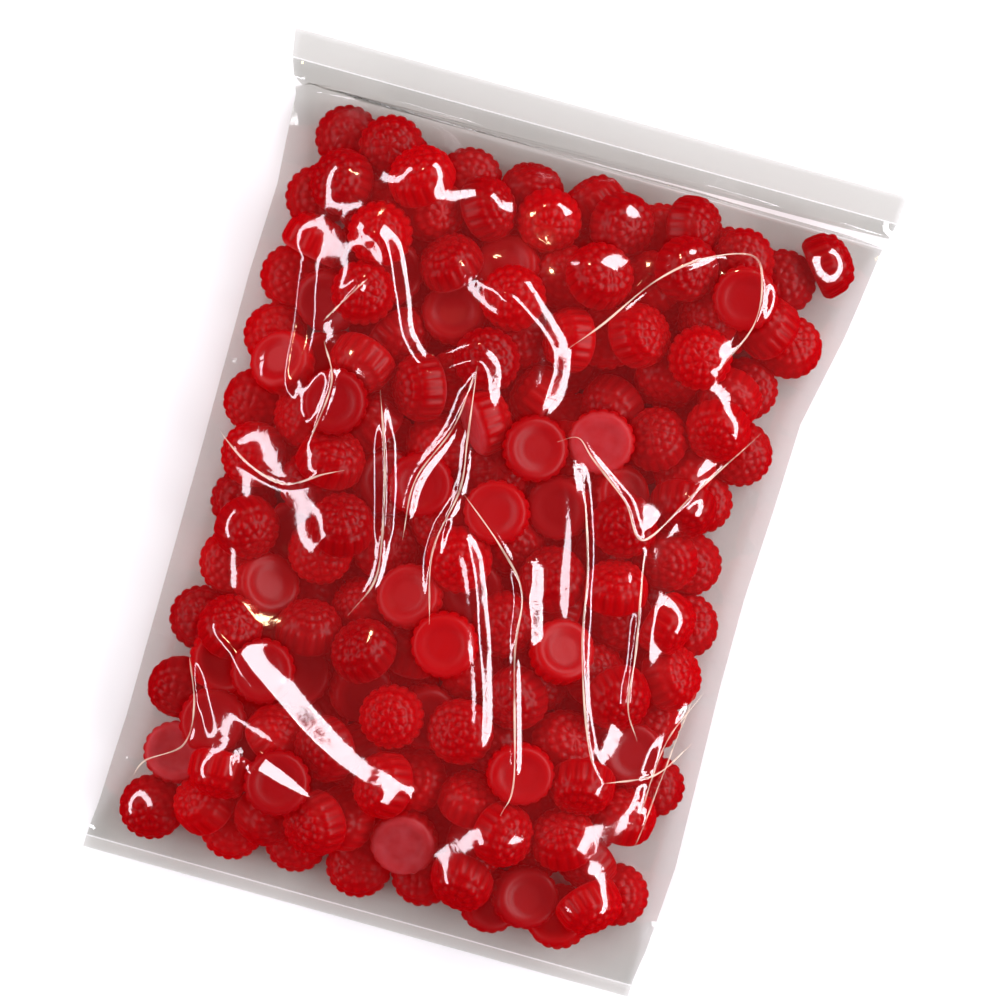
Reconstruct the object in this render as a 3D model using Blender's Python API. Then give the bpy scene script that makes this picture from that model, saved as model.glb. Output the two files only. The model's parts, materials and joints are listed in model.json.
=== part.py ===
"""A clear flat bag of raspberry-shaped jelly sweets, lying on its back panel.

Row frame: +Z up, +Y towards the top seal, +X to the right. The origin is the middle of the bag's
box, on the surface that it lies on. The bag is two film panels joined by two heat seals. The sweets
inside are soft and tacky, so those that lie against each other hold together in small clumps.
"""

import math

import bpy
import numpy as np
from mathutils import Matrix, Vector

MM = 0.001

# The bag, in millimetres.
BAG_LENGTH = 270.0
BAG_WIDTH = 203.0
FILM = 0.4
GAP = 0.4
SEAL_TOP = 9.0
SEAL_BOTTOM = 3.5
# How far each side edge is drawn in from half the width: (share of the length, left, right).
SIDE_DRAW = (
    (0.00, 4.5, 18.0),
    (0.12, 7.0, 14.5),
    (0.45, 7.3, 16.5),
    (0.70, 7.0, 14.0),
    (0.88, 8.5, 5.5),
    (1.00, 0.0, 0.0),
)

# One sweet: rings of its turned outline as (radius, height), from its flat base to its crown.
SWEET_RINGS = ((9.7, 0.0), (9.2, 7.0), (4.8, 12.4))
SWEET_SIDES = 8
SWEET_MIDDLE = 5.6
NECK_RADIUS = 1.7
NECK_SIDES = 5

# The pile of sweets.
MOST_SWEETS = 240
CELL = 1.0
CLEARANCE = 0.42
SIDE_ROOM = 2.8
END_ROOM = 8.0
TOP_ROOM = 19.0
TURNS_TRIED = 3
MOST_TRIED = 2200
FLIPPED_SHARE = 0.2
TILT_SPREAD = math.radians(38.0)
LAY_UP = 0.22
LAY_RIGHT = 0.14
JITTER = 0.6
SEED = 7
CLUMPS = 56
MOST_GAP = 3.0

# Inside a narrow flat SKIRT, the upper panel bulges to this height over the pile, and levels off
# this far in. The sweets stay BULGE_MARGIN under it. The bag is empty for EMPTY_TOP at its top.
SKIRT = 1.6
BULGE = 43.0
SIDE_REACH = 37.0
END_REACH = 27.0
BULGE_MARGIN = 0.9
EMPTY_TOP = 15.5

# The side edges of the bag stand off the ground, where the film bulges round the sweets.
EDGE_LIFT = 4.5
LIFT_REACH = 11.0
LIFT_ENDS = 32.0

# The film panels' grids. Their lines stand close together at the edges, where the film bends.
FRONT_COLUMNS = 13
FRONT_ROWS = 21
FRONT_STEPS = (0.0, 1.6, 2.9, 5.2, 8.8, 13.4, 19.2, 27.0)
BACK_COLUMNS = 4
BACK_ROWS = 8
BACK_STEPS = (0.0, 2.7, 5.5, 8.2, 11.0)

FILM_COLOUR = (0.86, 0.87, 0.86, 1.0)
SWEET_COLOUR = (0.55, 0.008, 0.018, 1.0)


def clear_scene():
    for obj in list(bpy.data.objects):
        bpy.data.objects.remove(obj, do_unlink=True)


def material(name, colour, roughness, alpha=1.0):
    """A Principled material with the given colour, roughness and alpha."""
    made = bpy.data.materials.new(name)
    made.use_nodes = True
    shader = made.node_tree.nodes["Principled BSDF"]
    shader.inputs["Base Color"].default_value = colour
    shader.inputs["Roughness"].default_value = roughness
    shader.inputs["Metallic"].default_value = 0.0
    shader.inputs["Alpha"].default_value = alpha
    return made


def solid(name, points, faces, finish=None):
    """A mesh object from points in millimetres."""
    mesh = bpy.data.meshes.new(name)
    mesh.from_pydata([Vector(p) * MM for p in points], [], faces)
    mesh.update()
    if finish:
        mesh.materials.append(finish)
    obj = bpy.data.objects.new(name, mesh)
    bpy.context.scene.collection.objects.link(obj)
    return obj


# ---------------------------------------------------------------- the bag's outline


def side_edges(share):
    """The x of the left and right edge at a share of the length, eased between SIDE_DRAW's points."""
    stops = [row[0] for row in SIDE_DRAW]
    i = int(np.clip(np.searchsorted(stops, share) - 1, 0, len(stops) - 2))
    t = (share - stops[i]) / (stops[i + 1] - stops[i])
    t = t * t * (3.0 - 2.0 * t)
    drawn = [(1.0 - t) * SIDE_DRAW[i][side] + t * SIDE_DRAW[i + 1][side] for side in (1, 2)]
    return drawn[0] - BAG_WIDTH / 2, BAG_WIDTH / 2 - drawn[1]


def bed(x, y):
    """How high the lower panel's underside stands: 0, rising towards the side edges by EDGE_LIFT."""
    left, right = side_edges(np.clip(y / BAG_LENGTH + 0.5, 0.0, 1.0))
    rise = max(0.0, 1.0 - min(x - left, right - x) / LIFT_REACH)
    end = np.clip((BAG_LENGTH / 2 - SEAL_TOP - abs(y)) / LIFT_ENDS, 0.0, 1.0)
    return EDGE_LIFT * rise * rise * end * end * (3.0 - 2.0 * end)


def arch(inward, reach):
    """A quarter ellipse, from 0 at an edge to 1 at the reach in from it."""
    t = np.clip(inward / reach, 0.0, 1.0)
    return np.sqrt(1.0 - (1.0 - t) ** 2)


def bulge(x, y, left, right):
    """How high the upper panel's underside stands, between a row's left and right edge."""
    low_end = y + BAG_LENGTH / 2 - SEAL_BOTTOM - GAP - SKIRT
    high_end = BAG_LENGTH / 2 - EMPTY_TOP - y
    across = arch(x - left - SKIRT, SIDE_REACH) * arch(right - SKIRT - x, SIDE_REACH)
    return BULGE * across * arch(low_end, END_REACH) * arch(high_end, END_REACH)


def grid_lines(low, high, count, steps):
    """Positions from low to high: the steps in from each end, and count even spaces between them."""
    inner = np.linspace(low + steps[-1], high - steps[-1], count + 1)[1:-1]
    return np.concatenate([low + np.array(steps), inner, high - np.array(steps[::-1])])


# ---------------------------------------------------------------- one sweet


def sweet_points():
    """The sweet's corners, ring by ring, in its own frame with its middle at the origin."""
    angles = [2 * math.pi * k / SWEET_SIDES for k in range(SWEET_SIDES)]
    return [
        Vector((r * math.cos(a), r * math.sin(a), z - SWEET_MIDDLE))
        for r, z in SWEET_RINGS
        for a in angles
    ]


def ring_faces(rings, sides):
    """Faces of a stack of rings with a flat face at each end, pointing out."""
    faces = [tuple(reversed(range(sides)))]
    for ring in range(rings - 1):
        low = ring * sides
        for k in range(sides):
            k2 = (k + 1) % sides
            faces.append((low + k, low + k2, low + sides + k2, low + sides + k))
    faces.append(tuple(range((rings - 1) * sides, rings * sides)))
    return faces


def sweet_planes():
    """The outward unit normal and distance of each flat face of the sweet."""
    points = np.array([p[:] for p in sweet_points()])
    normals, distances = [], []
    for face in ring_faces(len(SWEET_RINGS), SWEET_SIDES):
        a, b, c = points[list(face[:3])]
        normal = np.cross(b - a, c - b)
        normal /= np.linalg.norm(normal)
        normals.append(normal)
        distances.append(normal @ a)
    return np.array(normals), np.array(distances)


def heights_under_and_over(turn, planes):
    """Over a small grid round the sweet's middle: its lowest and highest z, grown by CLEARANCE."""
    normals = planes[0] @ turn.T
    distances = planes[1] + CLEARANCE
    reach = math.ceil((SWEET_RINGS[0][0] + CLEARANCE + 1.5) / CELL)
    steps = np.arange(-reach, reach + 1) * CELL
    x, y = np.meshgrid(steps, steps, indexing="ij")
    low = np.full(x.shape, -np.inf)
    high = np.full(x.shape, np.inf)
    for normal, distance in zip(normals, distances):
        flat = distance - normal[0] * x - normal[1] * y
        if normal[2] > 1e-6:
            high = np.minimum(high, flat / normal[2])
        elif normal[2] < -1e-6:
            low = np.maximum(low, flat / normal[2])
        else:
            low = np.where(flat < 0, np.inf, low)
    return low, high, low <= high


# ---------------------------------------------------------------- the pile


def floor_grid():
    """The empty bag's inside: cell positions, resting height (infinite outside) and ceiling."""
    xs = np.arange(-BAG_WIDTH / 2, BAG_WIDTH / 2 + CELL, CELL)
    ys = np.arange(-BAG_LENGTH / 2, BAG_LENGTH / 2 + CELL, CELL)
    edges = np.array([side_edges(np.clip(y / BAG_LENGTH + 0.5, 0, 1)) for y in ys])
    x, y = np.meshgrid(xs, ys, indexing="ij")
    left, right = edges[:, 0][None, :], edges[:, 1][None, :]
    inside = (x > left + SIDE_ROOM) & (x < right - SIDE_ROOM)
    inside &= (y > ys[0] + END_ROOM) & (y < BAG_LENGTH / 2 - TOP_ROOM)
    floor = FILM + GAP + np.vectorize(bed)(x, y)
    return xs, ys, np.where(inside, floor, np.inf), bulge(x, y, left, right) - BULGE_MARGIN


def random_turn(rng, flipped):
    """A random lie: crown up or down, tilted a little or a lot, spun about the sweet's own axis."""
    tilt = abs(rng.normal(0.0, TILT_SPREAD)) + math.radians(1.0)
    if flipped:
        tilt = math.pi - tilt
    way, spin = rng.uniform(0, 2 * math.pi, 2)
    turn = Matrix.Rotation(way, 3, "Z") @ Matrix.Rotation(tilt, 3, "Y") @ Matrix.Rotation(spin, 3, "Z")
    return np.array(turn)


def lowest_rest(rng, turn, planes, pile):
    """Where a sweet with this turn comes to rest lowest: (cost, middle, cells it fills, their new
    height). The cost is infinite with no room left."""
    xs, ys, height, ceiling = pile
    low, high, inside = heights_under_and_over(turn, planes)
    reach = low.shape[0] // 2
    di, dj = np.nonzero(inside)
    start = rng.integers(0, 2, 2)
    ci, cj = np.meshgrid(
        np.arange(reach + start[0], len(xs) - reach, 2),
        np.arange(reach + start[1], len(ys) - reach, 2),
        indexing="ij",
    )
    room = height[ci, cj] + 9.0 < ceiling[ci, cj]
    ci, cj = ci[room], cj[room]
    lowest = np.argsort(height[ci, cj] + JITTER * rng.random(len(ci)), kind="stable")[:MOST_TRIED]
    ci, cj = ci[lowest], cj[lowest]
    under = (ci[:, None] + di - reach, cj[:, None] + dj - reach)
    z = (height[under] - low[di, dj]).max(axis=1, initial=-np.inf)
    fits = z < (ceiling[under] - high[di, dj]).min(axis=1, initial=np.inf)
    top = z + high[inside].max()
    aside = LAY_UP * ys[cj] + LAY_RIGHT * xs[ci] + JITTER * rng.random(len(z))
    cost = np.where(fits, z + 0.5 * top + aside, np.inf)
    if not np.isfinite(cost).any():
        return np.inf, None, None, None
    best = int(np.argmin(cost))
    i, j, middle_z = ci[best], cj[best], round(float(z[best]), 3)
    cells = (i + di - reach, j + dj - reach)
    return float(cost[best]), np.array([xs[i], ys[j], middle_z]), cells, middle_z + high[di, dj]


def settle_sweets():
    """Sets the sweets down one by one, each where it comes to rest lowest. Returns the middle and
    turn of each."""
    rng = np.random.default_rng(SEED)
    planes = sweet_planes()
    pile = floor_grid()
    placed = []
    for _ in range(MOST_SWEETS):
        best, best_turn = (np.inf,), None
        flipped = rng.random() < FLIPPED_SHARE
        for turn in [random_turn(rng, flipped) for _ in range(TURNS_TRIED)]:
            rest = lowest_rest(rng, turn, planes, pile)
            if rest[0] < best[0]:
                best, best_turn = rest, turn
        if best_turn is None:
            continue
        _, middle, cells, top = best
        pile[2][cells] = np.maximum(pile[2][cells], top)
        placed.append((middle, best_turn))
    return placed


def gaps_between(placed):
    """The gap between each two sweets, along the line through their middles."""
    normals, distances = sweet_planes()
    middles = np.array([middle for middle, _ in placed])
    ways = middles[None] - middles[:, None]
    apart = np.linalg.norm(ways, axis=2) + np.eye(len(placed)) * 1e3
    ways /= apart[..., None]
    reach = np.empty(apart.shape)
    for k, (_, turn) in enumerate(placed):
        along = ways[k] @ (normals @ turn.T).T
        reach[k] = np.where(along > 1e-6, distances / np.maximum(along, 1e-6), np.inf).min(axis=1)
    return apart - reach - reach.T


def clumps_of(placed):
    """Groups the sweets into at most CLUMPS clumps of neighbours. Each clump is a list of sweet
    numbers and a list of the pairs that hold together."""
    gaps = gaps_between(placed)
    size = math.ceil(len(placed) / CLUMPS)
    free = set(range(len(placed)))
    clumps = []
    while free:
        fewest = min(free, key=lambda a: (sum(gaps[a, b] < MOST_GAP for b in free), a))
        free.discard(fewest)
        members, pairs = [fewest], []
        while len(members) < size:
            near = [(gaps[a, b], a, b) for a in members for b in free if gaps[a, b] < MOST_GAP]
            if not near:
                break
            _, a, b = min(near)
            members.append(b)
            pairs.append((a, b))
            free.discard(b)
        clumps.append((members, pairs))
    clumps.sort(key=lambda clump: (-len(clump[0]), clump[0]))
    while len(clumps) > CLUMPS:
        members, pairs = clumps.pop()
        near = [
            (gaps[a, b] + 0.5 * len(kept[0]), k, a, b)
            for k, kept in enumerate(clumps)
            for a in kept[0]
            for b in members
        ]
        _, k, a, b = min(near)
        clumps[k] = (clumps[k][0] + members, clumps[k][1] + pairs + [(a, b)])
    return clumps


# ---------------------------------------------------------------- building the sweets


def place_of(sweet):
    middle, turn = sweet
    return Matrix.Translation(Vector(middle)) @ Matrix(turn.tolist()).to_4x4()


def sweet_solid(name, sweet):
    place = place_of(sweet)
    points = [place @ p for p in sweet_points()]
    return solid(name, points, ring_faces(len(SWEET_RINGS), SWEET_SIDES))


def neck_solid(name, start, end):
    """The tacky spot that holds two sweets: a short prism between their middles."""
    start, end = Vector(start), Vector(end)
    along = (end - start).normalized()
    turn = along.to_track_quat("Z", "Y").to_matrix()
    points = [
        point + turn @ Vector((NECK_RADIUS * math.cos(a), NECK_RADIUS * math.sin(a), 0.0))
        for point in (start, end)
        for a in [2 * math.pi * k / NECK_SIDES for k in range(NECK_SIDES)]
    ]
    return solid(name, points, ring_faces(2, NECK_SIDES))


def fused(pieces, name, finish):
    """The Boolean union of the pieces, as one object."""
    base = pieces[0]
    for piece in pieces[1:]:
        join = base.modifiers.new(piece.name, "BOOLEAN")
        join.operation = "UNION"
        join.solver = "EXACT"
        join.object = piece
    bpy.context.view_layer.update()
    graph = bpy.context.evaluated_depsgraph_get()
    mesh = bpy.data.meshes.new_from_object(base.evaluated_get(graph))
    for piece in pieces:
        bpy.data.objects.remove(piece, do_unlink=True)
    mesh.name = name
    mesh.materials.clear()
    mesh.materials.append(finish)
    obj = bpy.data.objects.new(name, mesh)
    bpy.context.scene.collection.objects.link(obj)
    return obj


def build_sweets(placed, finish):
    for number, (members, pairs) in enumerate(clumps_of(placed), start=1):
        pieces = [sweet_solid(f"sweet.{m}", placed[m]) for m in members]
        pieces += [
            neck_solid(f"neck.{a}.{b}", placed[a][0], placed[b][0]) for a, b in pairs
        ]
        fused(pieces, f"sweets_{number:02d}", finish)


# ---------------------------------------------------------------- building the film


def raised(lower, thickness):
    """A grid's points moved by the thickness: straight up at its rim, and square to it inside."""
    along, across = np.gradient(lower, axis=0), np.gradient(lower, axis=1)
    normal = np.cross(across, along)
    normal /= np.linalg.norm(normal, axis=2, keepdims=True)
    rim = np.ones(normal.shape[:2], bool)
    rim[1:-1, 1:-1] = False
    normal[rim] = (0.0, 0.0, 1.0)
    return lower + thickness * normal


def panel(name, lines_at, rows, height_at, thickness, finish):
    """A thin closed sheet over a grid. lines_at gives the x of a row's points, and height_at the z of
    the sheet's lower face."""
    grid = np.array([[(x, y, height_at(x, y)) for x in lines_at(y)] for y in rows])
    lower = grid.reshape(-1, 3).tolist()
    upper = raised(grid, thickness).reshape(-1, 3).tolist()
    across, count = len(lines_at(rows[0])), len(lower)
    faces = []
    for r in range(len(rows) - 1):
        for c in range(across - 1):
            a, b = r * across + c, (r + 1) * across + c
            faces.append((b, b + 1, a + 1, a))
            faces.append((count + a, count + a + 1, count + b + 1, count + b))
    rim = [r * across for r in range(len(rows) - 1, 0, -1)]
    rim += list(range(across - 1))
    rim += [r * across + across - 1 for r in range(len(rows) - 1)]
    rim += [(len(rows) - 1) * across + c for c in range(across - 1, 0, -1)]
    for a, b in zip(rim, rim[1:] + rim[:1]):
        faces.append((a, b, count + b, count + a))
    return solid(name, lower + upper, faces, finish)


def edges_at(y):
    return side_edges(y / BAG_LENGTH + 0.5)


def film_rows(count, steps):
    """The y of a panel's rows, between the two seals."""
    low = -BAG_LENGTH / 2 + SEAL_BOTTOM + GAP
    return grid_lines(low, BAG_LENGTH / 2 - SEAL_TOP - GAP, count, steps)


def build_front_film(finish):
    """The upper panel: it bulges over the pile, and drops to the back panel at its edges."""
    rows = film_rows(FRONT_ROWS, FRONT_STEPS)

    def lines(y):
        return grid_lines(*edges_at(y), FRONT_COLUMNS, FRONT_STEPS)

    def height(x, y):
        return max(bed(x, y) + FILM + GAP, bulge(x, y, *edges_at(y)) + GAP)

    return panel("front_film", lines, rows, height, FILM, finish)


def build_back_film(finish):
    """The lower panel: flat in the middle, where the bag lies on it, with its side edges raised."""
    rows = film_rows(BACK_ROWS, BACK_STEPS)

    def lines(y):
        return grid_lines(*edges_at(y), BACK_COLUMNS, BACK_STEPS)

    return panel("back_film", lines, rows, bed, FILM, finish)


def build_seals(finish):
    """The two bands where heat has welded the panels into one."""
    half = BAG_LENGTH / 2
    bands = {"top_seal": (half - SEAL_TOP, half), "bottom_seal": (-half, SEAL_BOTTOM - half)}
    thick = 2 * FILM + GAP
    for name, rows in bands.items():
        panel(name, edges_at, rows, lambda x, y: 0.0, thick, finish)


def main():
    clear_scene()
    film = material("clear_film", FILM_COLOUR, 0.12, alpha=0.3)
    jelly = material("red_jelly", SWEET_COLOUR, 0.3)
    placed = settle_sweets()
    print(f"{len(placed)} sweets")
    build_sweets(placed, jelly)
    build_front_film(film)
    build_back_film(film)
    build_seals(film)


main()
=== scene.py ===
"""Looks of a clear flat bag filled with raspberry-shaped jelly sweets.

The bag lies on its back panel. Every sweet is moulded afresh where its solid lies, the film is drawn
over the pile, and the two heat seals close the ends. All lengths in the classes are millimetres.
"""

from __future__ import annotations

import json
import logging
import math
from dataclasses import dataclass, field
from enum import Enum
from typing import Any

import bmesh
import bpy
import numpy as np
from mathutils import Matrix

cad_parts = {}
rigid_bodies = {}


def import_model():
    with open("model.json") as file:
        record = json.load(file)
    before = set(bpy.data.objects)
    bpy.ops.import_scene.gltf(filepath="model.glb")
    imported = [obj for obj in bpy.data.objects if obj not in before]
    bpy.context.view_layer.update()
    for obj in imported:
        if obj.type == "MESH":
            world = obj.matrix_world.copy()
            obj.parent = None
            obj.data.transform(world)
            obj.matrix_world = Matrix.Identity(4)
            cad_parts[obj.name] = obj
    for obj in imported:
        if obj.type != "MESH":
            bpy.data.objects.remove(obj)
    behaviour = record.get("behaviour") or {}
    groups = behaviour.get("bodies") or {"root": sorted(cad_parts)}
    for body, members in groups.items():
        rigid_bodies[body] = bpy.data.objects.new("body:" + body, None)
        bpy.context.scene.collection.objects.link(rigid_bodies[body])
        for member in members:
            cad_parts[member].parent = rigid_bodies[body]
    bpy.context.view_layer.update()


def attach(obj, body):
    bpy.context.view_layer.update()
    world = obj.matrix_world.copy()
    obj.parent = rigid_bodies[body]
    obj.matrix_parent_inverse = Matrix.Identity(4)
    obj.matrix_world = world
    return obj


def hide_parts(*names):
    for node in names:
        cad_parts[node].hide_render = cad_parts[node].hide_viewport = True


LOG = logging.getLogger("bag_of_sweets")
MM = 0.001
SAME_SPOT = 0.0001  # mm: points nearer than this are one point
Array = np.ndarray
Colour = tuple[float, float, float, float]


class Panel(Enum):
    """The film pieces of the bag, by the name of the solid that each one replaces."""

    FRONT = "front_film"
    BACK = "back_film"
    TOP_SEAL = "top_seal"
    BOTTOM_SEAL = "bottom_seal"


# ------------------------------------------------------------------ small helpers


def linear(hex_colour: str, alpha: float = 1.0) -> Colour:
    """Turns an sRGB hex colour to the linear values that the shaders take.

    Args:
        hex_colour: Six hex digits after a hash.
        alpha: The fourth value.

    Returns:
        Red, green, blue and alpha.
    """
    values = [int(hex_colour[i : i + 2], 16) / 255 for i in (1, 3, 5)]
    red, green, blue = [v / 12.92 if v <= 0.04045 else ((v + 0.055) / 1.055) ** 2.4 for v in values]
    return red, green, blue, alpha


def add_node(tree: Any, kind: str, settings: dict[Any, Any], links: dict[Any, Any] | None = None) -> Any:
    """Adds one node to a material's tree.

    Args:
        tree: The node tree.
        kind: The node's type.
        settings: Values for its own properties, or for its input sockets by name or number.
        links: The output socket that feeds each named or numbered input.

    Returns:
        The new node.
    """
    node = tree.nodes.new(kind)
    for key, value in settings.items():
        if isinstance(key, str) and hasattr(node, key):
            setattr(node, key, value)
        else:
            node.inputs[key].default_value = value
    for key, socket in (links or {}).items():
        tree.links.new(socket, node.inputs[key])
    return node


def smooth_step(low: float, high: float, value: Array) -> Array:
    """Rises from 0 at low to 1 at high, level at both ends: 3t² - 2t³."""
    t = np.clip((value - low) / (high - low), 0.0, 1.0)
    return t * t * (3.0 - 2.0 * t)


def grid_faces(rows: int, columns: int, wrap: bool = False) -> Array:
    """Quads of a grid whose points run row by row.

    Args:
        rows: Number of rows of points.
        columns: Number of points in each row.
        wrap: Whether the last column joins the first.

    Returns:
        An array of four point numbers for each face.
    """
    r = np.arange(rows - 1)[:, None]
    c = np.arange(columns if wrap else columns - 1)[None, :]
    d = (c + 1) % columns
    corners = [r * columns + c, r * columns + d, (r + 1) * columns + d, (r + 1) * columns + c]
    return np.stack(np.broadcast_arrays(*corners), axis=-1).reshape(-1, 4)


def make_piece(name: str, points: Array, faces: Array, finish: Any, marks: dict[str, Array]) -> Any:
    """Makes one mesh object at the origin, smooth shaded, with its place in its mesh.

    Args:
        name: The piece's name.
        points: Points in millimetres.
        faces: Point numbers, the same count for each face.
        finish: The material.
        marks: A number for each point, by attribute name.

    Returns:
        The new object.
    """
    mesh = bpy.data.meshes.new(name)
    sides = faces.shape[1]
    mesh.vertices.add(len(points))
    mesh.vertices.foreach_set("co", (points * MM).astype(np.float32).ravel())
    mesh.loops.add(faces.size)
    mesh.loops.foreach_set("vertex_index", faces.astype(np.int32).ravel())
    mesh.polygons.add(len(faces))
    mesh.polygons.foreach_set("loop_start", np.arange(0, faces.size, sides, dtype=np.int32))
    mesh.polygons.foreach_set("use_smooth", np.ones(len(faces), bool))
    for mark, values in marks.items():
        layer = mesh.attributes.new(mark, "FLOAT", "POINT")
        layer.data.foreach_set("value", values.astype(np.float32).ravel())
    mesh.update(calc_edges=True)
    mesh.validate()
    mesh.materials.append(finish)
    piece = bpy.data.objects.new(name, mesh)
    bpy.context.scene.collection.objects.link(piece)
    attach(piece, "root")
    LOG.info("%s: %d faces", name, len(faces))
    return piece


def close_poles(mesh: Any) -> None:
    """Makes one point of all the points on one spot, which closes a turned shape at its poles.

    Args:
        mesh: The mesh to change.
    """
    work = bmesh.new()
    work.from_mesh(mesh)
    bmesh.ops.remove_doubles(work, verts=work.verts, dist=SAME_SPOT * MM)
    work.to_mesh(mesh)
    work.free()


# ------------------------------------------------------------------ finishes


@dataclass(frozen=True)
class JellyFinish:
    """Fruit jelly, moulded in starch and glazed with a little oil."""

    shadow: str = "#980006"
    body: str = "#bb0209"
    frosted: str = "#d2606a"
    # a red emission painted on as a glow, in place of light through the neighbouring sweets
    painted_glow: str = "#620002"
    depth: float = 5.0
    grain: float = 1.1

    def build(self) -> Any:
        """Jelly lets light in a few millimetres and gives it back red, so its shaded side stays
        bright. A faint red emission is a painted glow: it lifts the shaded gaps between sweets, in place
        of the light that reaches a sweet through its neighbours.
        The oil glaze gives small sharp glints, and the mould's grain breaks them up."""
        material = bpy.data.materials.new("fruit_jelly")
        material.use_nodes = True
        tree = material.node_tree
        tree.nodes.clear()
        place = add_node(tree, "ShaderNodeTexCoord", {})
        tone = add_node(tree, "ShaderNodeAttribute", {"attribute_name": "tone"})
        frost = add_node(tree, "ShaderNodeAttribute", {"attribute_name": "frost"})
        body = add_node(
            tree,
            "ShaderNodeMix",
            {"data_type": "RGBA", 6: linear(self.shadow), 7: linear(self.body)},
            {0: tone.outputs["Fac"]},
        )
        bloom = add_node(
            tree,
            "ShaderNodeTexNoise",
            {"Scale": 1.0 / (4.0 * MM), "Detail": 3.0},
            {"Vector": place.outputs["Object"]},
        )
        dusting = add_node(
            tree,
            "ShaderNodeMath",
            {"operation": "MULTIPLY"},
            {0: frost.outputs["Fac"], 1: bloom.outputs["Fac"]},
        )
        colour = add_node(
            tree,
            "ShaderNodeMix",
            {"data_type": "RGBA", 7: linear(self.frosted)},
            {0: dusting.outputs[0], 6: body.outputs[2]},
        )
        grain = add_node(
            tree,
            "ShaderNodeTexNoise",
            {"Scale": 1.0 / (self.grain * MM), "Detail": 2.0},
            {"Vector": place.outputs["Object"]},
        )
        bump = add_node(
            tree,
            "ShaderNodeBump",
            {"Strength": 0.35, "Distance": 0.12 * MM},
            {"Height": grain.outputs["Fac"]},
        )
        shader = add_node(
            tree,
            "ShaderNodeBsdfPrincipled",
            {
                "Roughness": 0.36,
                "IOR": 1.42,
                "Specular IOR Level": 0.35,
                "Subsurface Weight": 1.0,
                "Subsurface Radius": (1.0, 0.12, 0.1),
                "Subsurface Scale": self.depth * MM,
                # painted glow: red emission that lifts the shaded gaps between sweets
                "Emission Color": linear(self.painted_glow),
                "Emission Strength": 1.0,
            },
            {"Base Color": colour.outputs[2], "Normal": bump.outputs[0]},
        )
        add_node(tree, "ShaderNodeOutputMaterial", {}, {"Surface": shader.outputs[0]})
        return material


@dataclass(frozen=True)
class FilmFinish:
    """Cast polypropylene film, 50 microns thick: clear, glossy and a little milky."""

    name: str = "cast_polypropylene_film"
    tint: str = "#f3f3f1"
    milk: str = "#f4efe9"
    mirror: float = 0.11
    grazing_mirror: float = 0.22
    roughness: float = 0.075
    clear_haze: float = 0.001
    loose_haze: float = 0.005
    wrinkle: float = 5.5
    wrinkle_height: float = 0.1

    def build(self) -> Any:
        """Film shows what is behind it, with a sharp gloss that breaks up on its fine wrinkles. Its
        two faces together mirror 11% square on, and by Schlick's rule the fifth power of its slant
        raises that to 22% at a grazing angle. Where it lies against a sweet it is clear, and where
        it stands off, milky."""
        material = bpy.data.materials.new(self.name)
        material.use_nodes = True
        tree = material.node_tree
        tree.nodes.clear()
        place = add_node(tree, "ShaderNodeTexCoord", {})
        wrinkles = add_node(
            tree,
            "ShaderNodeTexNoise",
            {"Scale": 1.0 / (self.wrinkle * MM), "Detail": 3.0, "Roughness": 0.45, "Distortion": 0.6},
            {"Vector": place.outputs["Object"]},
        )
        bump = add_node(
            tree,
            "ShaderNodeBump",
            {"Strength": 1.0, "Distance": self.wrinkle_height * MM},
            {"Height": wrinkles.outputs["Fac"]},
        )
        loose = add_node(tree, "ShaderNodeAttribute", {"attribute_name": "loose"})
        haze = add_node(
            tree,
            "ShaderNodeMapRange",
            {"From Min": 0.0, "From Max": 1.0, "To Min": self.clear_haze, "To Max": self.loose_haze},
            {"Value": loose.outputs["Fac"]},
        )
        clear = add_node(tree, "ShaderNodeBsdfTransparent", {"Color": linear(self.tint)})
        milk = add_node(
            tree,
            "ShaderNodeBsdfDiffuse",
            {"Color": linear(self.milk), "Roughness": 0.0},
            {"Normal": bump.outputs[0]},
        )
        body = add_node(
            tree,
            "ShaderNodeMixShader",
            {},
            {0: haze.outputs[0], 1: clear.outputs[0], 2: milk.outputs[0]},
        )
        gloss = add_node(
            tree,
            "ShaderNodeBsdfGlossy",
            {"Color": (1.0, 1.0, 1.0, 1.0), "Roughness": self.roughness},
            {"Normal": bump.outputs[0]},
        )
        facing = add_node(tree, "ShaderNodeLayerWeight", {"Blend": 0.5}, {"Normal": bump.outputs[0]})
        grazing = add_node(
            tree,
            "ShaderNodeMath",
            {"operation": "POWER", 1: 5.0},
            {0: facing.outputs["Facing"]},
        )
        bounce = add_node(
            tree,
            "ShaderNodeMapRange",
            {"To Min": self.mirror, "To Max": self.grazing_mirror},
            {"Value": grazing.outputs[0]},
        )
        shader = add_node(
            tree,
            "ShaderNodeMixShader",
            {},
            {0: bounce.outputs[0], 1: body.outputs[0], 2: gloss.outputs[0]},
        )
        add_node(tree, "ShaderNodeOutputMaterial", {}, {"Surface": shader.outputs[0]})
        return material


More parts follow.
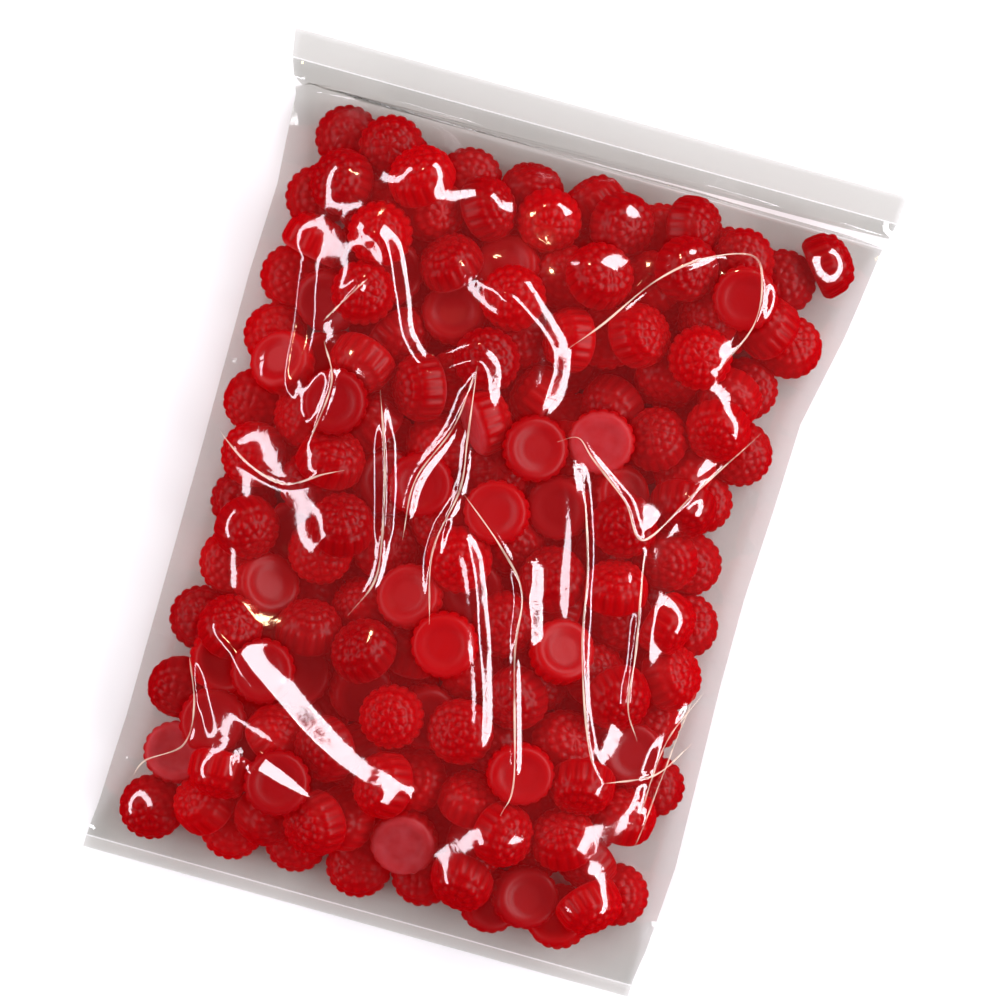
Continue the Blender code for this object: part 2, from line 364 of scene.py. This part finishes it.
@dataclass(frozen=True)
class PaintedCreaseGlint:
    """The same film where it is pinched double along a sharp crease, with a painted cream highlight in
    place of the glint along the bend.
    """

    name: str = "whitened_film_crease"
    # the cream colour of the painted highlight along the crease
    white: str = "#ffe6cf"
    cover: float = 0.7

    def build(self) -> Any:
        """A painted cream highlight: it stands in for the light that a sharp bend catches, and shows as a
        fine cream line.
        """
        material = bpy.data.materials.new(self.name)
        material.use_nodes = True
        tree = material.node_tree
        tree.nodes.clear()
        place = add_node(tree, "ShaderNodeTexCoord", {})
        patches = add_node(
            tree,
            "ShaderNodeTexNoise",
            {"Scale": 1.0 / (9.0 * MM), "Detail": 2.0},
            {"Vector": place.outputs["Object"]},
        )
        share = add_node(
            tree,
            "ShaderNodeMapRange",
            {"From Min": 0.3, "From Max": 0.6, "To Min": 0.35 * self.cover, "To Max": self.cover},
            {"Value": patches.outputs["Fac"]},
        )
        clear = add_node(tree, "ShaderNodeBsdfTransparent", {"Color": (1.0, 1.0, 1.0, 1.0)})
        # the painted cream highlight, lit as a rough glossy surface
        bend = add_node(
            tree,
            "ShaderNodeBsdfPrincipled",
            {"Base Color": linear(self.white), "Roughness": 0.22, "IOR": 1.5},
        )
        shader = add_node(
            tree,
            "ShaderNodeMixShader",
            {},
            {0: share.outputs[0], 1: clear.outputs[0], 2: bend.outputs[0]},
        )
        add_node(tree, "ShaderNodeOutputMaterial", {}, {"Surface": shader.outputs[0]})
        return material


@dataclass(frozen=True)
class FloorFinish:
    """White seamless paper."""

    white: str = "#fdfdfd"

    def build(self) -> Any:
        """Matt paper gives an even white with no reflection."""
        material = bpy.data.materials.new("seamless_paper")
        material.use_nodes = True
        shader = material.node_tree.nodes["Principled BSDF"]
        shader.inputs["Base Color"].default_value = linear(self.white)
        shader.inputs["Roughness"].default_value = 0.9
        shader.inputs["Specular IOR Level"].default_value = 0.0
        return material


# ------------------------------------------------------------------ the sweets


@dataclass
class Pose:
    """Where one sweet lies: the middle of its base, and its own axes as the columns of a turn."""

    base: Array
    turn: Array


@dataclass
class SweetForm:
    """The moulded shape of one sweet, standing on its flat base.

    The sides carry upright ribs with round ends, and the crown carries rings of round nubs, as the
    fruit's drupelets. The base has a flat rim round a shallow recess.
    """

    profile: tuple[tuple[float, float], ...] = (
        (0.0, 0.95),
        (4.6, 0.9),
        (5.5, 0.6),
        (6.2, 0.1),
        (7.2, 0.0),
        (8.4, 0.05),
        (9.1, 0.45),
        (9.35, 1.3),
        (9.4, 2.6),
        (9.3, 4.6),
        (9.1, 6.4),
        (8.7, 7.9),
        (7.9, 9.3),
        (6.7, 10.4),
        (5.1, 11.2),
        (3.2, 11.7),
        (1.5, 11.9),
        (0.0, 11.95),
    )
    size: float = 1.07
    middle: float = 5.6
    around: int = 72
    base_rows: int = 8
    side_rows: int = 30
    ribs: int = 18
    rib_middle: float = 4.6
    rib_length: float = 4.4
    rib_width: float = 3.1
    rib_stand: float = 0.62
    nub_rings: tuple[tuple[float, int], ...] = ((6.9, 15), (4.5, 10), (2.1, 5), (0.0, 1))
    nub_radius: float = 1.3
    nub_stand: float = 0.62
    rim_corner: int = 6
    relief_sink: float = 0.25
    base_reach: tuple[float, float] = (9.0, 10.6)
    squash_spread: float = 0.02
    lean_spread: float = 0.03

    def outline(self) -> tuple[Array, Array, Array]:
        """The turned outline, from the middle of the base round to the crown.

        Returns:
            Radius, height and length along the outline at each row.
        """
        corners = np.array(self.profile)
        reach = np.r_[0.0, np.cumsum(np.hypot(*np.diff(corners, axis=0).T))]
        rim = reach[self.rim_corner]
        rows = np.r_[
            np.linspace(0.0, rim, self.base_rows, endpoint=False),
            np.linspace(rim, reach[-1], self.side_rows),
        ]
        return np.interp(rows, reach, corners[:, 0]), np.interp(rows, reach, corners[:, 1]), rows

    def relief(self, radius: Array, height: Array, reach: Array, angle: Array) -> Array:
        """How far each point stands out: the highest of the ribs and nubs there.

        A rib is a capsule, and a nub is a ball: each stands out by its own height times the root of
        1 - (d / width)², where d is the distance from its middle line or middle point.
        """
        pitch = 2.0 * np.pi / self.ribs
        across = (np.mod(angle + pitch / 2, pitch) - pitch / 2) * radius
        on_base = reach[:, 0] < self.base_reach[0]
        side = np.argmin(np.where(on_base, np.inf, np.abs(height[:, 0] - self.rib_middle)))
        along = np.maximum(np.abs(reach - reach[side]) - self.rib_length / 2, 0.0)
        away = (across**2 + along**2) / (self.rib_width / 2) ** 2
        stand = self.rib_stand * np.sqrt(np.clip(1.0 - away, 0.0, 1.0))
        crown = reach[:, 0] > reach[side, 0]
        for ring, (at, count) in enumerate(self.nub_rings):
            row = np.argmin(np.where(crown, np.abs(radius[:, 0] - at), np.inf))
            step = 2.0 * np.pi / count
            turned = angle + 0.5 * step * (ring % 2)
            sideways = (np.mod(turned + step / 2, step) - step / 2) * radius
            if count == 1:
                sideways = np.zeros_like(radius * angle)
            away = (sideways**2 + (reach - reach[row]) ** 2) / self.nub_radius**2
            nub = self.nub_stand * np.sqrt(np.clip(1.0 - away, 0.0, 1.0))
            stand = np.maximum(stand, np.where(crown[:, None], nub, 0.0))
        return stand

    def points(self, rng: np.random.Generator) -> Array:
        """The sweet's grid of points: the outline turned about the upright axis, moved square to
        itself by the relief, and squashed a little as soft sweets are.

        Args:
            rng: The source of the squash.

        Returns:
            Points by row and by angle.
        """
        radius, height, reach = (values[:, None] for values in self.outline())
        angle = np.linspace(0.0, 2.0 * np.pi, self.around, endpoint=False)[None, :]
        slope_r, slope_z = np.gradient(radius[:, 0]), np.gradient(height[:, 0])
        length = np.hypot(slope_r, slope_z)
        out_r, out_z = (slope_z / length)[:, None], (-slope_r / length)[:, None]
        stand = self.relief(radius, height, reach, angle) - self.relief_sink
        stand = np.where(reach < reach[self.base_rows], 0.0, stand)
        across = radius + out_r * stand
        across[[0, -1]] = 0.0  # the poles: every point of these rows is on the axis
        up = height + out_z * stand
        squash = 1.0 + rng.normal(0.0, self.squash_spread, 3)
        lean = rng.normal(0.0, self.lean_spread, 2)
        x = across * np.cos(angle) * squash[0] + lean[0] * up
        y = across * np.sin(angle) * squash[1] + lean[1] * up
        z = (up - self.middle) * squash[2] + 0.0 * angle
        return self.size * np.stack([x, y, z], axis=-1) + (0.0, 0.0, self.middle)

    def base_share(self) -> Array:
        """For each row, 1 on the base and its rim, falling to 0 on the sides."""
        _, _, reach = self.outline()
        return np.repeat(1.0 - smooth_step(*self.base_reach, reach), self.around)


@dataclass
class SweetPile:
    """All the sweets, as one piece for each clump that holds together."""

    form: SweetForm
    finish: Any
    seed: int = 11
    base_area: float = 200.0
    corner_reach: float = 9.7
    same_normal: float = 4e-3
    same_plane: float = 0.04
    corner_slack: float = 0.6
    frosted_share: float = 0.16
    plain_frost: float = 0.08
    tops: list[Array] = field(default_factory=list)

    def poses(self, node: Any) -> list[Pose]:
        """Finds each sweet of a clump from its flat base, the largest flat face of its solid.

        Args:
            node: The clump's own object.

        Returns:
            One pose for each sweet.
        """
        mesh = node.data
        count = len(mesh.polygons)
        normal, centre, area = np.empty(count * 3), np.empty(count * 3), np.empty(count)
        mesh.polygons.foreach_get("normal", normal)
        mesh.polygons.foreach_get("center", centre)
        mesh.polygons.foreach_get("area", area)
        corner = np.empty(len(mesh.vertices) * 3)
        mesh.vertices.foreach_get("co", corner)
        normal, centre = normal.reshape(-1, 3), centre.reshape(-1, 3) / MM
        corner, area = corner.reshape(-1, 3) / MM, area / MM**2
        offset = (normal * centre).sum(axis=1)
        free = np.ones(count, bool)
        found = []
        while free.any():
            first = np.flatnonzero(free)[0]
            flat = free & (np.abs(normal - normal[first]).max(axis=1) < self.same_normal)
            flat &= np.abs(offset - offset[first]) < self.same_plane
            free &= ~flat
            if area[flat].sum() < self.base_area:
                continue
            down = normal[first]
            middle = np.average(centre[flat], axis=0, weights=area[flat])
            rim = corner[np.abs(corner @ down - offset[first]) < self.same_plane]
            away = np.linalg.norm(rim - middle, axis=1)
            rim = rim[np.abs(away - self.corner_reach) < self.corner_slack]
            rim = np.unique(np.round(rim, 2), axis=0)
            middle = rim.mean(axis=0) if len(rim) == 8 else middle
            ahead = rim[0] - middle
            ahead -= down * (ahead @ down)
            ahead /= np.linalg.norm(ahead)
            found.append(Pose(middle, np.column_stack([ahead, np.cross(-down, ahead), -down])))
        return found

    def build(self) -> None:
        """Moulds each clump's sweets in one piece, in place of the clump's solid."""
        rng = np.random.default_rng(self.seed)
        for name in sweet_nodes():
            points, faces, tone, frost = [], [], [], []
            for pose in self.poses(bpy.data.objects[name]):
                grid = self.form.points(rng)
                turned = grid.reshape(-1, 3) @ pose.turn.T + pose.base
                faces.append(grid_faces(*grid.shape[:2], wrap=True) + sum(len(p) for p in points))
                points.append(turned)
                tone.append(np.full(len(turned), rng.uniform(0.0, 1.0)))
                is_frosted = rng.random() < self.frosted_share
                frosted = rng.uniform(0.5, 1.0) if is_frosted else self.plain_frost
                frost.append(self.form.base_share() * frosted)
            marks = {"tone": np.concatenate(tone), "frost": np.concatenate(frost)}
            whole = np.concatenate(points)
            moulded = name.replace("sweets", "jellies")
            piece = make_piece(moulded, whole, np.concatenate(faces), self.finish, marks)
            close_poles(piece.data)
            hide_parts(name)
            self.tops.append(whole)


def sweet_nodes() -> list[str]:
    """The names of the clumps' solids, in order."""
    return sorted(o.name for o in bpy.data.objects if o.name.startswith("sweets_"))


# ------------------------------------------------------------------ the film


@dataclass
class BagOutline:
    """The bag's side edges, read from the back panel's solid."""

    y: Array = field(init=False)
    left: Array = field(init=False)
    right: Array = field(init=False)

    def __post_init__(self) -> None:
        """Takes the outermost points at each row of the solid's grid."""
        mesh = bpy.data.objects[Panel.BACK.value].data
        points = np.empty(len(mesh.vertices) * 3)
        mesh.vertices.foreach_get("co", points)
        points = points.reshape(-1, 3) / MM
        rows = np.round(points[:, 1], 1)
        self.y = np.unique(rows)
        self.left = np.array([points[rows == y, 0].min() for y in self.y])
        self.right = np.array([points[rows == y, 0].max() for y in self.y])

    def edges(self, y: Array) -> tuple[Array, Array]:
        """The left and right edge at each y, in a straight line between the solid's rows."""
        return np.interp(y, self.y, self.left), np.interp(y, self.y, self.right)


@dataclass
class Crease:
    """A ridge in the film along a given line, high in its middle and fading at its ends."""

    points: tuple[tuple[float, float], ...]
    half_width: float = 2.2
    # line: width of the painted cream highlight strip along the crest, none at 0
    line: float = 0.0
    slope: float = 0.42

    def path(self, step: float = 0.5) -> Array:
        """A smooth line through the points: each stretch is a Catmull-Rom cubic.

        Args:
            step: Distance between the points of the line.

        Returns:
            The line's points.
        """
        knots = np.array(self.points, float)
        knots = np.vstack([2 * knots[0] - knots[1], knots, 2 * knots[-1] - knots[-2]])
        runs = []
        for a, b, c, d in zip(knots, knots[1:], knots[2:], knots[3:]):
            t = np.linspace(0.0, 1.0, max(2, int(np.linalg.norm(c - b) / step)), endpoint=False)[:, None]
            run = 2 * b + (c - a) * t + (2 * a - 5 * b + 4 * c - d) * t**2 + (3 * b - a - 3 * c + d) * t**3
            runs.append(0.5 * run)
        return np.vstack(runs + [knots[-2:-1]])

    def raise_film(self, x: Array, y: Array, z: Array) -> None:
        """Adds the ridge to the film's heights. Across the ridge the height falls from the crest as
        the power 1.5 of the share that is left to the foot, with the crest rounded off. Along the
        ridge it fades over the two end fifths."""
        path = self.path(1.0)
        reach, bend = self.half_width, 0.18 * self.half_width
        low, high = path.min(axis=0) - reach, path.max(axis=0) + reach
        near = (x > low[0]) & (x < high[0]) & (y > low[1]) & (y < high[1])
        at = np.column_stack([x[near], y[near]])
        away = np.linalg.norm(at[:, None] - path[None], axis=2)
        closest = away.argmin(axis=1)
        apart = away[np.arange(len(at)), closest]
        share = closest / (len(path) - 1)
        fade = smooth_step(0.0, 0.2, share) * (1.0 - smooth_step(0.8, 1.0, share))
        tent = np.clip(1.0 - (np.hypot(apart, bend) - bend) / (reach - bend), 0.0, 1.0) ** 1.5
        z[near] += self.slope * reach * tent * (0.25 + 0.75 * fade)


def widest(values: Array, reach: int, highest: bool) -> Array:
    """The highest or lowest value within reach cells of each cell, one axis at a time."""
    pick = np.maximum if highest else np.minimum
    for axis in (0, 1):
        padded = np.pad(values, [(reach, reach) if a == axis else (0, 0) for a in (0, 1)], mode="edge")
        size = values.shape[axis]
        spans = [np.take(padded, range(k, k + size), axis=axis) for k in range(2 * reach + 1)]
        values = pick.reduce(spans)
    return values


def mean_of_neighbours(values: Array) -> Array:
    """Each inner value turned to the mean of its four neighbours. The outer ones stay."""
    around = values.copy()
    around[1:-1, 1:-1] = (values[:-2, 1:-1] + values[2:, 1:-1] + values[1:-1, :-2] + values[1:-1, 2:]) / 4
    return around


@dataclass
class FrontPanel:
    """The upper film panel, drawn over the pile: it rests on the highest sweets and spans the dips
    between them, with ridges where the film is slack."""

    outline: BagOutline
    finish: Any
    painted_glint_finish: Any
    creases: tuple[Crease, ...]
    columns: int = 272
    rows: int = 360
    low: float = -131.1
    high: float = 125.6
    edge_height: float = 1.0
    edge_lift: float = 4.5
    clearance: float = 0.7
    span: int = 15
    sag_steps: int = 450
    soften_steps: int = 10
    x: Array = field(init=False)
    y: Array = field(init=False)
    z: Array = field(init=False)
    loose: Array = field(init=False)

    def lay_out(self) -> None:
        """Sets the grid: even steps across from edge to edge, and along from seal to seal."""
        y = np.linspace(self.low, self.high, self.rows)
        left, right = self.outline.edges(y)
        share = np.linspace(0.0, 1.0, self.columns)[None, :]
        self.x = left[:, None] + (right - left)[:, None] * share
        self.y = np.repeat(y[:, None], self.columns, axis=1)

    def cell_of(self, points: Array) -> tuple[Array, Array]:
        """The grid cell that each point is over or under."""
        left, right = self.outline.edges(points[:, 1])
        row = (points[:, 1] - self.low) / (self.high - self.low) * (self.rows - 1)
        column = (points[:, 0] - left) / (right - left) * (self.columns - 1)
        row = np.clip(np.rint(row), 0, self.rows - 1).astype(int)
        return row, np.clip(np.rint(column), 0, self.columns - 1).astype(int)

    def edge_rest(self) -> Array:
        """The height of the panel's edges: up by edge_lift at the sides, level at the seals."""
        end = smooth_step(0.0, 32.0, np.minimum(self.y - self.low, self.high - self.y))
        return self.edge_height + self.edge_lift * end

    def drape(self, sweets: Array) -> None:
        """Works out the panel's heights.

        The sweets' tops are spread to their neighbours and shrunk back, which bridges each dip up to
        the span. Then each height becomes the mean of its four neighbours, again and again, but never
        less than the sweet below, as a drawn skin does.

        Args:
            sweets: All the sweets' points.
        """
        self.lay_out()
        rest = self.edge_rest()
        floor = np.full(self.x.shape, self.edge_height)
        row, column = self.cell_of(sweets)
        np.maximum.at(floor, (row, column), sweets[:, 2] + self.clearance)
        tops = widest(floor, 1, True)
        height = widest(widest(tops, self.span, True), self.span, False)
        rim = np.ones(height.shape, bool)
        rim[1:-1, 1:-1] = False
        for _ in range(self.sag_steps):
            height[rim] = rest[rim]
            height = np.maximum(mean_of_neighbours(height), tops)
        for _ in range(self.soften_steps):
            height = mean_of_neighbours(height)
        height[rim] = rest[rim]
        self.loose = smooth_step(0.4, 3.2, height - tops)
        self.z = height
        for crease in self.creases:
            crease.raise_film(self.x, self.y, self.z)

    def height_at(self, points: Array) -> Array:
        """The panel's height at each point."""
        return self.z[self.cell_of(points)]

    def build(self, sweets: Array) -> Any:
        """Drapes the panel over the sweets and makes its sheet, in place of the panel's solid."""
        self.drape(sweets)
        points = np.stack([self.x, self.y, self.z], axis=-1).reshape(-1, 3)
        faces = grid_faces(self.rows, self.columns)
        piece = make_piece("front_panel", points, faces, self.finish, {"loose": self.loose})
        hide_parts(Panel.FRONT.value)
        return piece

    def build_painted_glints(self) -> Any:
        """Makes the painted cream highlights along the sharp creases: narrow strips with a raised middle,
        which taper to their ends and lie just over the film."""
        points, faces = [], []
        for crease in self.creases:
            if crease.line <= 0.0:
                continue
            path = crease.path(0.8)
            ahead = np.gradient(path, axis=0)
            ahead /= np.linalg.norm(ahead, axis=1, keepdims=True)
            aside = np.column_stack([-ahead[:, 1], ahead[:, 0]])
            share = np.linspace(0.0, 1.0, len(path))
            taper = smooth_step(0.0, 0.12, share) * (1.0 - smooth_step(0.88, 1.0, share))
            wobble = 0.75 + 0.25 * np.sin(len(path) + 9.0 * share * crease.half_width)
            half = 0.5 * crease.line * np.maximum(taper * wobble, 0.12)
            strip = [path + aside * half[:, None] * k for k in (-1.0, 0.0, 1.0)]
            flat = np.stack(strip, axis=1)
            level = self.height_at(path)[:, None] + 0.22 + 0.12 * np.array([0.0, 1.0, 0.0])
            grid = np.concatenate([flat, level[..., None]], axis=2)
            faces.append(grid_faces(len(path), 3)[:, ::-1] + sum(len(p) for p in points))
            points.append(grid.reshape(-1, 3))
        piece = make_piece("crease_lines", np.vstack(points), np.vstack(faces), self.painted_glint_finish, {})
        return piece


@dataclass
class BackPanel:
    """The lower film panel: flat under the pile, and raised along the bag's sides."""

    outline: BagOutline
    finish: Any
    columns: int = 150
    rows: int = 200
    low: float = -131.1
    high: float = 125.6
    rest: float = 0.15
    edge_lift: float = 4.5
    lift_reach: float = 11.0

    def build(self) -> Any:
        """Makes the sheet. Its height is the square of how far it is into the raised band, times the
        lift, which fades at both seals."""
        y = np.linspace(self.low, self.high, self.rows)
        left, right = self.outline.edges(y)
        share = np.linspace(0.0, 1.0, self.columns)[None, :]
        x = left[:, None] + (right - left)[:, None] * share
        y = np.repeat(y[:, None], self.columns, axis=1)
        inward = np.minimum(x - left[:, None], right[:, None] - x)
        rise = np.clip(1.0 - inward / self.lift_reach, 0.0, 1.0) ** 2
        end = smooth_step(0.0, 32.0, np.minimum(y - self.low, self.high - y))
        z = self.rest + self.edge_lift * rise * end
        faces = grid_faces(self.rows, self.columns)[:, ::-1]
        points = np.stack([x, y, z], axis=-1).reshape(-1, 3)
        piece = make_piece("back_panel", points, faces, self.finish, {"loose": np.full(x.shape, 0.35)})
        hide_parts(Panel.BACK.value)
        return piece


@dataclass
class SealBand:
    """Both panels welded into one band by heated jaws, which press fine ribs into it."""

    panel: Panel
    finish: Any
    outer: float
    inner: float
    wave: float = 0.5
    rib_pitch: float = 1.25
    rib_height: float = 0.07
    columns: int = 420
    rows: int = 14

    def build(self) -> Any:
        """Makes the band. Its height is a slow wave along the band, largest at the free edge, plus
        the ribs, a cosine along the band at the ribs' pitch."""
        y = np.linspace(self.inner, self.outer, self.rows)
        mesh = bpy.data.objects[self.panel.value].data
        corner = np.empty(len(mesh.vertices) * 3)
        mesh.vertices.foreach_get("co", corner)
        corner = corner.reshape(-1, 3) / MM
        share_out = np.linspace(0.0, 1.0, self.rows)
        sides = []
        for pick in (np.min, np.max):
            ends = [pick(corner[np.abs(corner[:, 1] - at) < 0.1, 0]) for at in (self.inner, self.outer)]
            sides.append(ends[0] + (ends[1] - ends[0]) * share_out)
        share = np.linspace(0.0, 1.0, self.columns)[None, :]
        x = sides[0][:, None] + (sides[1] - sides[0])[:, None] * share
        y = np.repeat(y[:, None], self.columns, axis=1)
        slow = np.sin(x / 17.0) + 0.6 * np.sin(x / 7.3 + 1.0) + 0.4 * np.cos(x / 29.0)
        ribs = self.rib_height * np.cos(2 * np.pi * x / self.rib_pitch)
        z = 0.75 + self.wave * share_out[:, None] * (0.5 + 0.25 * slow) + ribs
        points = np.stack([x, y, z], axis=-1).reshape(-1, 3)
        faces = grid_faces(self.rows, self.columns)
        if self.outer < self.inner:
            faces = faces[:, ::-1]
        name = f"{self.panel.value}_band"
        piece = make_piece(name, points, faces, self.finish, {"loose": np.ones(x.shape)})
        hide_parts(self.panel.value)
        return piece


# ------------------------------------------------------------------ the studio


@dataclass
class Softbox:
    """One area lamp that faces the bag's middle."""

    name: str
    azimuth: float
    off_axis: float
    size: tuple[float, float]
    radiance: float
    colour: str = "#ffffff"
    distance: float = 1.3
    mirrored: bool = True

    def build(self) -> Any:
        """Makes the lamp. Its power is its radiance times pi times its area.

        Returns:
            The lamp's object.
        """
        lamp = bpy.data.lights.new(self.name, "AREA")
        lamp.shape = "RECTANGLE"
        lamp.size, lamp.size_y = self.size
        lamp.energy = self.radiance * math.pi * self.size[0] * self.size[1]
        lamp.color = linear(self.colour)[:3]
        turn, fall = math.radians(self.azimuth), math.radians(self.off_axis)
        back = np.array([math.sin(fall) * math.cos(turn), math.sin(fall) * math.sin(turn), math.cos(fall)])
        along = np.array([-math.sin(turn), math.cos(turn), 0.0])
        stand = bpy.data.objects.new(self.name, lamp)
        place = np.eye(4)
        place[:3, :3] = np.column_stack([along, np.cross(back, along), back])
        place[:3, 3] = back * self.distance
        stand.matrix_world = [tuple(row) for row in place.T]
        stand.visible_glossy = self.mirrored
        bpy.context.scene.collection.objects.link(stand)
        return stand


@dataclass
class StripArc:
    """Strip lamps side by side on an arc about the bag, which the film's ridges mirror as streaks."""

    name: str
    start: float
    end: float
    off_axis: float
    width: float
    radiance: float
    colour: str = "#ffffff"
    count: int = 5
    distance: float = 1.3

    def build(self) -> None:
        """Makes the lamps, each as long as its share of the arc."""
        step = (self.end - self.start) / self.count
        length = self.distance * math.sin(math.radians(self.off_axis)) * math.radians(step)
        for k in range(self.count):
            azimuth = self.start + (k + 0.5) * step
            size = (length, self.width)
            name = f"{self.name}_{k + 1}"
            lamp = Softbox(name, azimuth, self.off_axis, size, self.radiance, self.colour, self.distance)
            lamp.build()


@dataclass
class Studio:
    """A white paper floor, soft lamps and a camera straight above the bag. The room, the floor and
    the fill are polarised out of the gloss, so the film mirrors only the strips and the warm lamp."""

    distance: float = 1.25
    frame_width: float = 0.3197
    aim: tuple[float, float] = (0.0018, 0.0070)
    roll: float = 15.5
    room: str = "#bababc"
    floor_reach: float = 4000.0
    floor_level: float = -0.3
    sensor_width: float = 36.0
    lamps: tuple[Any, ...] = (
        StripArc("key_strip", -25.0, 80.0, 52.0, 0.38, 8.4, "#faf7ff"),
        StripArc("back_strip", 145.0, 225.0, 58.0, 0.22, 7.2, "#f8f5ff", 4),
        Softbox("warm_lamp", 115.0, 38.0, (0.09, 0.09), 26.0, "#ffdcb0"),
        Softbox("left_fill", 190.0, 58.0, (1.3, 0.9), 0.9, mirrored=False),
    )

    def build(self) -> None:
        """Builds the floor, the lamps, the room's light and the camera."""
        side = np.array([-self.floor_reach, self.floor_reach])
        x, y = np.meshgrid(side, side)
        points = np.stack([x, y, np.full(x.shape, self.floor_level)], axis=-1).reshape(-1, 3)
        mesh = bpy.data.meshes.new("paper_floor")
        mesh.from_pydata((points * MM).tolist(), [], grid_faces(2, 2).tolist())
        mesh.materials.append(FloorFinish().build())
        floor = bpy.data.objects.new("paper_floor", mesh)
        bpy.context.scene.collection.objects.link(floor)
        floor.visible_glossy = False
        for lamp in self.lamps:
            lamp.build()
        world = bpy.data.worlds.new("studio_room")
        world.use_nodes = True
        world.node_tree.nodes["Background"].inputs["Color"].default_value = linear(self.room)
        world.node_tree.nodes["Background"].inputs["Strength"].default_value = 1.0
        world.cycles_visibility.glossy = False
        bpy.context.scene.world = world
        bpy.context.scene.view_settings.view_transform = "Standard"
        self.build_camera()

    def build_camera(self) -> None:
        """Sets a long lens straight above the bag, rolled so that the bag lies turned in the frame."""
        lens = bpy.data.cameras.new("studio_camera")
        lens.sensor_width = self.sensor_width
        lens.lens = self.sensor_width * self.distance / self.frame_width
        camera = bpy.data.objects.new("studio_camera", lens)
        camera.location = (*self.aim, self.distance)
        camera.rotation_euler = (0.0, 0.0, math.radians(self.roll))
        bpy.context.scene.collection.objects.link(camera)
        bpy.context.scene.camera = camera


# ------------------------------------------------------------------ the bag

# Sharp creases carry a painted cream highlight line. Broad ridges only carry the gloss.
CREASES: tuple[Crease, ...] = (
    Crease(((-69, 78), (-55, 74), (-47, 60), (-41, 47), (-30, 39), (-16, 46), (-11, 37), (-7, 24)), 6.0),
    Crease(((-79, 64), (-75, 42), (-73, 26), (-68, 17)), 7.0, slope=0.6),
    Crease(((-33, 74), (-15, 69), (0, 60), (6, 51), (5, 31)), 8.0),
    Crease(((9, 57), (18, 68), (30, 85), (43, 96), (57, 101), (62, 93), (63, 80), (57, 65)), 2.6, 0.7),
    Crease(((-16, 45), (-18, 25), (-25, 6), (-24, -13)), 4.0, 0.5),
    Crease(((-16, 45), (-13, 23), (-11, 7), (-14, -14), (-9, -36)), 3.0, 0.65),
    Crease(((-11, 7), (6, -7), (16, -19), (19, -38), (29, -75), (28, -87)), 3.0, 0.7),
    Crease(((14, 29), (20, 32), (26, 27), (39, 17), (48, 7), (60, 26), (75, 49)), 2.6, 0.7),
    Crease(((18, 28), (26, 7), (32, -18), (36, -30)), 6.5),
    Crease(((24, 23), (33, -4), (39, -32), (49, -60), (56, -69)), 2.6, 0.7),
    Crease(((15, -6), (23, -37)), 6.0),
    Crease(((-13, -2), (-12, -17)), 4.0),
    Crease(((-11, 0), (-2, -14), (5, -32), (13, -56), (17, -75)), 5.0),
    Crease(((49, 5), (52, -12), (55, -28), (57, -44), (63, -54)), 3.0, 0.7),
    Crease(((53, -10), (55, -30), (60, -50)), 5.0),
    Crease(((-43, 30), (-35, 7), (-30, -15), (-29, -28), (-34, -40)), 3.2, 0.7),
    Crease(((-39, 20), (-33, 0), (-29, -16)), 5.0),
    Crease(((-90, 5), (-77, -3), (-64, -6), (-53, 0), (-47, 3)), 2.6, 0.7),
    Crease(((-82, -49), (-65, -61), (-51, -71), (-33, -82), (-13, -93), (-2, -104)), 12.0, slope=0.45),
    Crease(((-59, -91), (-42, -96), (-25, -100), (-5, -108)), 7.0, slope=0.45),
    Crease(((-84, -50), (-74, -74), (-66, -90)), 4.0),
    Crease(((-79, -65), (-73, -80), (-73, -93), (-84, -102), (-87, -109)), 2.6, 0.6),
    Crease(((80, -34), (72, -53), (70, -77)), 4.4, 0.5),
    Crease(((77, -35), (71, -88)), 2.6, 0.5),
    Crease(((56, -69), (71, -63), (81, -51)), 2.6, 0.6),
    Crease(((-64, 40), (-58, 28), (-60, 8)), 3.0, 0.6),
    Crease(((-56, 62), (-66, 46)), 3.4, 0.6),
)


@dataclass
class SweetBag:
    """The whole filled bag."""

    flat_size: tuple[float, float] = (0.203, 0.270)

    def build(self) -> None:
        """Builds the sweets, then the film over and under them, then the seals."""
        film = FilmFinish().build()
        weld = FilmFinish(
            "welded_film_seal", "#e9e9e6", clear_haze=0.14, loose_haze=0.14, wrinkle=3.0
        ).build()
        form = SweetForm()
        pile = SweetPile(form, JellyFinish().build())
        outline = BagOutline()
        pile.build()
        front = FrontPanel(outline, film, PaintedCreaseGlint().build(), CREASES)
        sweets = np.vstack(pile.tops)
        front_piece = front.build(sweets)
        lines = front.build_painted_glints()
        back_piece = BackPanel(outline, film).build()
        top = SealBand(Panel.TOP_SEAL, weld, 135.0, 126.0).build()
        bottom = SealBand(Panel.BOTTOM_SEAL, weld, -135.0, -131.5, wave=0.3).build()
        LOG.info("sweets: %d", len(sweets) // (form.around * (form.base_rows + form.side_rows)))


def main() -> None:
    """Loads the frame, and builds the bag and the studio."""
    logging.basicConfig(level=logging.INFO, format="%(message)s")
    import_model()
    SweetBag().build()
    Studio().build()


if __name__ == "__main__":
    main()
